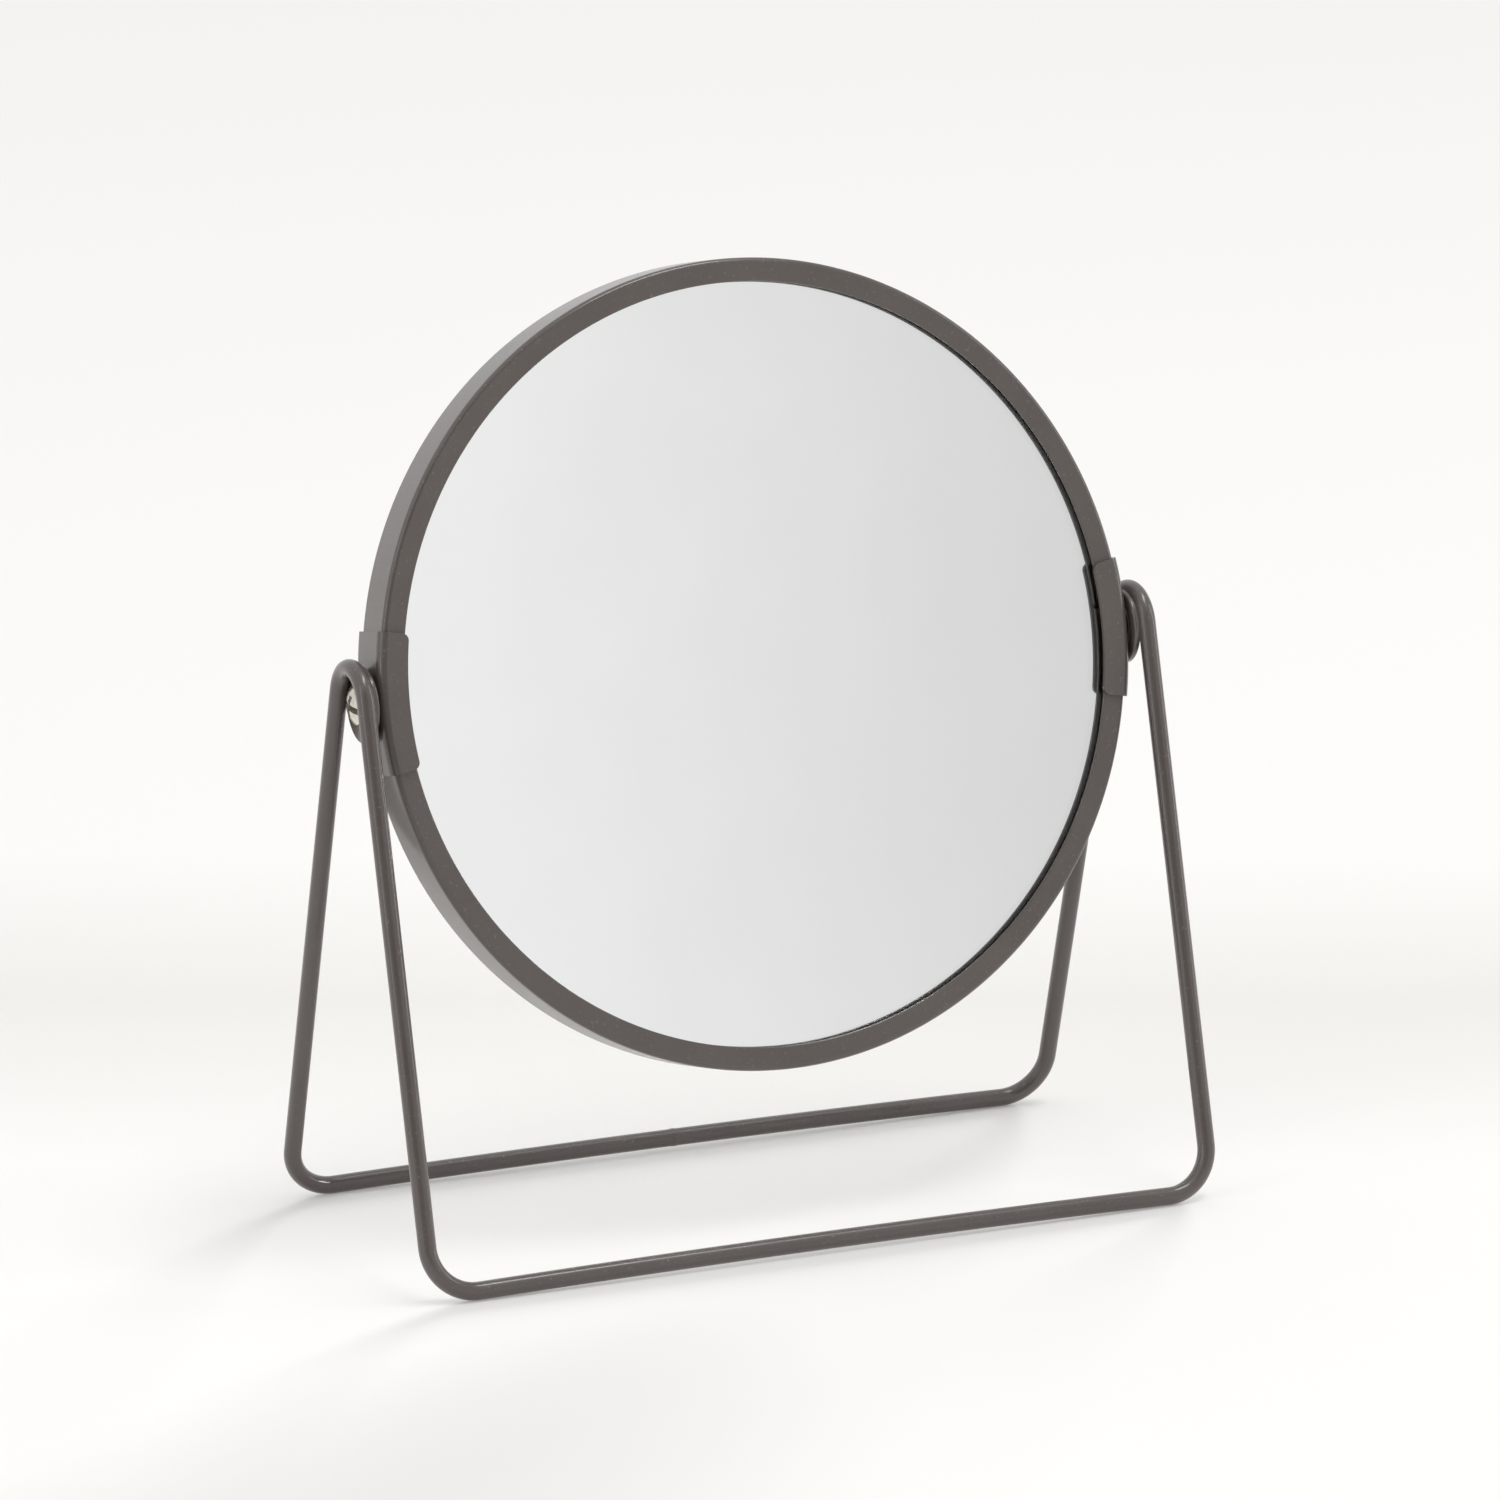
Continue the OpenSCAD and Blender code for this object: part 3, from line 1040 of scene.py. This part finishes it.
@dataclass
class Clip:
    """A short sheet channel folded over the rim, with rounded inner corners."""

    frame: HeadFrame
    inner: float = 79.5 * MM
    outer: float = 85.85 * MM
    half_depth: float = 6.85 * MM
    sheet: float = 0.8 * MM
    fold: float = 1.95 * MM
    corner: float = 1.5 * MM
    half_angle: float = math.radians(10.0)
    edge_width: float = 0.16 * MM
    corner_points: int = 11
    fold_points: int = 10
    rows: int = 61

    def section(self) -> tuple[np.ndarray, np.ndarray, np.ndarray]:
        """The sheet's section from the front flange's inner edge round to the rear one's.

        Each flange starts with the quarter circle that rounds its corner, where the sheet's
        ends draw back by R - R sin t at a radius of R - R cos t past the inner edge. Then come
        the two folds, arcs about shared centres, so the inner surface is the outer one moved
        in by the sheet's thickness.

        Returns:
            (n, 2) outer points, (n, 2) inner points and (n,) how far the ends draw back.
        """
        swept = np.linspace(0.0, np.pi / 2, self.corner_points)
        reach = self.inner + self.corner * (1 - np.cos(swept))
        drawn_back = self.corner * (1 - np.sin(swept))
        flange = np.stack([reach, np.full_like(reach, self.half_depth)], axis=1)
        flange_inside = flange - np.array([0.0, self.sheet])

        turn = np.linspace(np.pi / 2, 0.0, self.fold_points)
        ray = np.stack([np.cos(turn), np.sin(turn)], axis=1)
        centre = np.array([self.outer - self.fold, self.half_depth - self.fold])
        front_out = np.concatenate([flange, centre + self.fold * ray])
        front_in = np.concatenate([flange_inside, centre + (self.fold - self.sheet) * ray])
        back = np.concatenate([drawn_back, np.zeros(len(turn))])
        flip = np.array([1.0, -1.0])
        return (np.concatenate([front_out, (front_out * flip)[::-1]]),
                np.concatenate([front_in, (front_in * flip)[::-1]]),
                np.concatenate([back, back[::-1]]))

    def build(self, side: Side, paint: Material) -> None:
        """Builds one clip as a closed sheet and rounds its edges.

        A row of the grid goes out along the outer surface and back along the inner one, and
        each point's angle is its share of the half angle less its draw-back over its radius.

        Args:
            side: the end of the axis.
            paint: its finish.
        """
        outside, inside, back = self.section()
        loop = np.concatenate([outside, inside[::-1]])
        drawn = np.concatenate([back, back[::-1]])
        share = np.linspace(-1.0, 1.0, self.rows)[:, None]
        angle = share * (self.half_angle - drawn / loop[:, 0])[None, :]
        points = np.stack([side.value * loop[:, 0] * np.cos(angle), loop[:, 0] * np.sin(angle),
                           np.broadcast_to(loop[:, 1], angle.shape)], axis=-1)
        piece = build_piece(f"{side.label}_rim_clip", self.frame.place(points), False, True,
                            end_caps=True, sharp_degrees=CRISP_DEGREES)
        soften(piece, self.edge_width)
        finish_piece(piece, paint, Body.HEAD, f"{side.label}_clip")


@dataclass
class Glasses:
    """The plain glass in front and the magnifying glass behind, each silvered on its back."""

    frame: HeadFrame
    radius: float = 83.7 * MM
    seat: float = 5.2 * MM
    thickness: float = 2.0 * MM
    hair: float = 0.03 * MM
    dish: float = 4.4 * MM
    ground_edge: float = 0.3 * MM
    side_degrees: float = 60.0
    sharp_degrees: float = 20.0
    flat_rings: int = 24
    dished_rings: int = 70
    sides: int = 240

    def plain_section(self, low: float, high: float) -> np.ndarray:
        """A flat disc's half section from the axis out and back, with ground edges."""
        reach = np.linspace(0.0, self.radius - self.ground_edge, self.flat_rings)
        rim = np.array([[self.radius, low + self.ground_edge], [self.radius, high - self.ground_edge]])
        flat_low = np.stack([reach, np.full_like(reach, low)], axis=1)
        flat_high = np.stack([reach[::-1], np.full_like(reach, high)], axis=1)
        return np.concatenate([flat_low, rim, flat_high])

    def dished_section(self) -> np.ndarray:
        """A dished disc's half section, bounded by two spheres about one centre.

        The rear sphere runs a hair off the one that passes through the edge of the seat and
        rises by the dish at the axis, and the front one a hair inside the glass's thickness.

        Returns:
            (n, 2) points from the axis out along the rear face and back along the front one.
        """
        sphere = (self.radius**2 + self.dish**2) / (2 * self.dish)
        centre = -self.seat - math.sqrt(sphere**2 - self.radius**2)
        reach = np.linspace(0.0, self.radius - self.ground_edge, self.dished_rings)
        rear = centre + np.sqrt((sphere + self.hair) ** 2 - reach**2)
        front = centre + np.sqrt((sphere + self.thickness - self.hair) ** 2 - reach**2)
        edge = np.array([rear[-1] + self.ground_edge, front[-1] - self.ground_edge])
        rim = np.stack([np.full_like(edge, self.radius), edge], axis=1)
        return np.concatenate([np.stack([reach, rear], axis=1), rim, np.stack([reach, front], axis=1)[::-1]])

    def silver_back(self, piece: bpy.types.Object, towards: float, silver: Material) -> None:
        """Gives the faces on a glass's hidden side the reflecting layer.

        A face belongs to that side if its normal runs within the side angle of the head's
        front axis times the given sign.

        Args:
            piece: the glass.
            towards: 1 for the side that faces the front of the head, -1 for the rear.
            silver: the reflecting layer.
        """
        ends = self.frame.place(np.array([[0.0, 0.0, 0.0], [0.0, 0.0, 1.0]]))
        normals = np.empty(len(piece.data.polygons) * 3)
        piece.data.polygons.foreach_get("normal", normals)
        along = normals.reshape(-1, 3) @ (ends[1] - ends[0]) * towards
        on_side = along > math.cos(math.radians(self.side_degrees))
        piece.data.materials.append(silver)
        piece.data.polygons.foreach_set("material_index", on_side.astype(np.int32))

    def build(self, pane: Material, silver: Material) -> None:
        """Builds both glasses, each with its silver on the side that is hidden in the head.

        The glasses are a hair thinner on each face than the room they have, so no face lies
        in the same plane as a lip of the rim, the backing sheet or the spacer ring.

        Args:
            pane: the glass.
            silver: the reflecting layer.
        """
        parts = (
            ("plain_glass", self.plain_section(self.seat - self.thickness + self.hair, self.seat - self.hair),
             -1.0, "plain_mirror"),
            ("magnifying_glass", self.dished_section(), 1.0, "magnifying_mirror"),
        )
        for name, section, towards, node in parts:
            grid = self.frame.place(lathe(section, full_turn(self.sides)))
            piece = build_piece(name, grid, True, False, sharp_degrees=self.sharp_degrees)
            finish_piece(piece, pane, Body.HEAD, node)
            self.silver_back(piece, towards, silver)


class InnerPieces:
    """The pieces hidden in the head and the pivots, which keep their own meshes."""

    FINISHES = {
        PlainFinish("black_nylon", linear(22, 21, 20), linear(36, 34, 32), (0.42, 0.55)):
            ("left_friction_washer", "right_friction_washer"),
        PlainFinish("plain_steel", linear(150, 147, 140), linear(178, 174, 166), (0.3, 0.45),
                    metallic=1.0, cells=700.0, pulled=(1.0, 1.0, 6.0)):
            ("left_nut_plate", "right_nut_plate"),
        PlainFinish("pressed_board", linear(166, 146, 112), linear(196, 176, 140), (0.75, 0.95),
                    cells=350.0, pulled=(1.0, 4.0, 1.0), depth=0.05 * MM):
            ("spacer_ring",),
        PlainFinish("grey_film", linear(120, 120, 120), linear(140, 140, 140), (0.35, 0.5), cells=200.0):
            ("backing_sheet",),
    }

    def dress(self, effects: SurfaceEffects) -> None:
        """Gives each of these CAD pieces its finish.

        Args:
            effects: the shared shader groups.
        """
        for finish, names in self.FINISHES.items():
            material = finish.build(effects)
            for name in names:
                for slot in frame["nodes"][name].material_slots:
                    slot.material = material
                log.info("dressed %s in %s", name, finish.name)


# ---------------------------------------------------------------------------
# Studio
# ---------------------------------------------------------------------------


@dataclass(frozen=True)
class Lamp:
    """One soft rectangular light, with its width and height in metres and its power in watts."""

    name: str
    place: Point
    size: Span
    power: float

    def hang(self, target: Point) -> None:
        """Hangs the light so that it faces a point.

        Args:
            target: the point, in metres.
        """
        data = bpy.data.lights.new(self.name, "AREA")
        data.shape = "RECTANGLE"
        data.size, data.size_y = self.size
        data.energy = self.power
        light = bpy.data.objects.new(self.name, data)
        light.location = self.place
        aim = np.array(target) - np.array(self.place)
        light.rotation_euler = (math.acos(-aim[2] / np.linalg.norm(aim)), 0.0, math.atan2(-aim[0], aim[1]))
        light.visible_camera = False
        bpy.context.scene.collection.objects.link(light)


@dataclass
class Studio:
    """A plain pale floor that glows with painted light, soft light and the camera."""

    floor_reach: float = 9.0
    camera_place: Point = (-0.67307, -1.48379, 0.50385)
    camera_yaw: float = math.radians(24.4)
    camera_pitch: float = math.radians(-13.97)
    lens: float = 191.83
    sensor: float = 36.0
    world_strength: float = 1.0
    room: Colour = linear(241, 241, 241)
    room_right: Colour = linear(214, 214, 214)
    room_front_left: Colour = linear(135, 135, 135)
    right_fade: Span = (0.37, 0.45)
    left_fade: Span = (0.05, 0.27)
    front_fade: Span = (-0.75, -0.45)
    floor_lines: int = 13
    floor_colour: Colour = linear(197, 196, 194)
    floor_roughness: float = 0.9
    floor_shine: float = 0.05
    # Painted light: the floor glows. The glow is brighter in front, where the head's shadow falls, and dimmer
    # further back, with a band of painted shade behind the object.
    painted_floor_glow: float = 0.285
    painted_light_near: Colour = linear(244, 243, 241)
    painted_light_far: Colour = linear(233, 232, 230)
    painted_shade_band: Colour = linear(180, 179, 173)
    painted_light_fade: Span = (-0.06, 0.10)
    mottle_colour: Colour = linear(235, 234, 231)
    mottle_share: float = 0.04
    mottle_cells: float = 6.0
    mottle_detail: float = 3.0
    # Depth and width of the band of painted shade in the floor's glow.
    shade_band_depth: float = 0.157
    shade_band_width: float = 0.13
    rear_power: float = 3.8
    rear_spread: float = math.radians(22.0)
    rear_height: float = math.radians(15.0)
    rear_turn: float = math.radians(-46.0)
    lit_point: Point = (0.0, 0.0, 0.1)
    lamps: tuple[Lamp, ...] = (
        Lamp("overhead", (0.5, -0.5, 2.4), (1.2, 0.5), 15.0),
        Lamp("left_strip", (-2.0, -0.5, 0.9), (0.12, 1.6), 3.0),
        Lamp("right_strip", (2.0, -0.7, 0.9), (0.16, 1.6), 6.0),
    )

    def floor(self) -> None:
        """Lays the floor, a flat grid of squares with a pale, faintly mottled finish that glows with painted
        light.
        """
        edge = np.linspace(-self.floor_reach, self.floor_reach, self.floor_lines)
        across, deep = np.meshgrid(edge, edge)
        grid = np.stack([across, deep, np.zeros_like(across)], axis=-1)
        piece = build_piece("floor", grid, False, False)
        made = Dressing("pale_floor_painted_light")
        nodes = made.nodes
        mottle = nodes.remap(nodes.noise(made.place, self.mottle_cells, self.mottle_detail), NOISE_SPAN)
        depth = self.depth_of(made)
        # Painted light: the glow is brighter in front of the object, where it fills in the head's shadow, and
        # dimmer further back.
        ramp = nodes.remap(depth, self.painted_light_fade)
        # Painted shade: a darker band in the glow at the set depth behind the object.
        away = nodes.math("ABSOLUTE", nodes.math("SUBTRACT", depth, self.shade_band_depth), 0.0)
        dip = nodes.remap(away, (0.0, self.shade_band_width), FALLING)
        shade_banded_glow = nodes.mix(dip, nodes.mix(ramp, self.painted_light_near, self.painted_light_far), self.painted_shade_band)
        pale = nodes.mix(nodes.math("MULTIPLY", mottle, self.mottle_share), shade_banded_glow, self.mottle_colour)
        # The floor's glow is painted light, which also lightens every shadow cast on the floor.
        made.set(Base_Color=self.floor_colour, Roughness=self.floor_roughness,
                 Specular_IOR_Level=self.floor_shine, Emission_Color=pale, Emission_Strength=self.painted_floor_glow)
        piece.data.materials.append(made.material)

    def depth_of(self, made: Dressing) -> Socket:
        """How far behind the object's middle a floor point lies, along the room's depth."""
        axes = made.nodes.add("SeparateXYZ")
        made.nodes.link(made.place, axes.inputs["Vector"])
        along_x = made.nodes.math("MULTIPLY", axes.outputs["X"], math.sin(self.camera_yaw))
        along_y = made.nodes.math("MULTIPLY", axes.outputs["Y"], math.cos(self.camera_yaw))
        return made.nodes.math("ADD", along_x, along_y)

    def sky(self) -> None:
        """Surrounds the scene with a pale room, dimmer in front on the left and towards the right."""
        world = bpy.data.worlds.new("pale_room")
        world.use_nodes = True
        nodes = ShaderNodes(world.node_tree)
        axes = nodes.add("SeparateXYZ")
        nodes.link(nodes.add("TexCoord").outputs["Generated"], axes.inputs["Vector"])
        right = nodes.remap(axes.outputs["X"], self.right_fade)
        bright = nodes.mix(right, self.room, self.room_right)
        left = nodes.remap(axes.outputs["X"], self.left_fade, FALLING)
        ahead = nodes.remap(axes.outputs["Y"], self.front_fade, FALLING)
        tone = nodes.mix(nodes.math("MULTIPLY", left, ahead), bright, self.room_front_left)
        background = world.node_tree.nodes["Background"]
        nodes.link(tone, background.inputs["Color"])
        background.inputs["Strength"].default_value = self.world_strength
        bpy.context.scene.world = world

    def rear_light(self) -> None:
        """Adds a wide, even light from low behind the object, which draws its soft shadow."""
        data = bpy.data.lights.new("rear_light", "SUN")
        data.energy = self.rear_power
        data.angle = self.rear_spread
        light = bpy.data.objects.new("rear_light", data)
        light.rotation_euler = (-(math.pi / 2 - self.rear_height), 0.0, self.rear_turn)
        light.visible_glossy = False
        bpy.context.scene.collection.objects.link(light)

    def camera(self) -> None:
        """Sets up the camera."""
        data = bpy.data.cameras.new("camera")
        data.lens = self.lens
        data.sensor_width = self.sensor
        eye = bpy.data.objects.new("camera", data)
        eye.location = self.camera_place
        eye.rotation_euler = (math.pi / 2 + self.camera_pitch, 0.0, -self.camera_yaw)
        bpy.context.scene.collection.objects.link(eye)
        bpy.context.scene.camera = eye

    def build(self) -> None:
        """Builds the whole studio."""
        self.camera()
        self.floor()
        self.sky()
        for lamp in self.lamps:
            lamp.hang(self.lit_point)
        self.rear_light()
        bpy.context.scene.view_settings.view_transform = "Standard"


def main() -> None:
    """Builds the studio, the stand and the head, in that order."""
    logging.basicConfig(level=logging.INFO, format="%(name)s: %(message)s")
    pivot = frame["record"]["behaviour"]["joints"][0]["pos_m"]
    head = HeadFrame(height=pivot[2])
    Studio().build()

    effects = SurfaceEffects()
    paint = PaintFinish().build(effects)
    steel = ScrewFinish().build(effects)
    WireStand(height=head.height).build(paint)
    for side, turn in SLOT_TURNS.items():
        PivotDisc(height=head.height).build(side, paint)
        PivotScrew(head).build(side, turn, steel)
        Clip(head).build(side, paint)
    Rim(head).build(paint)
    Glasses(head).build(PaneFinish().build(), SilverFinish().build())
    InnerPieces().dress(effects)


if __name__ == "__main__":
    main()
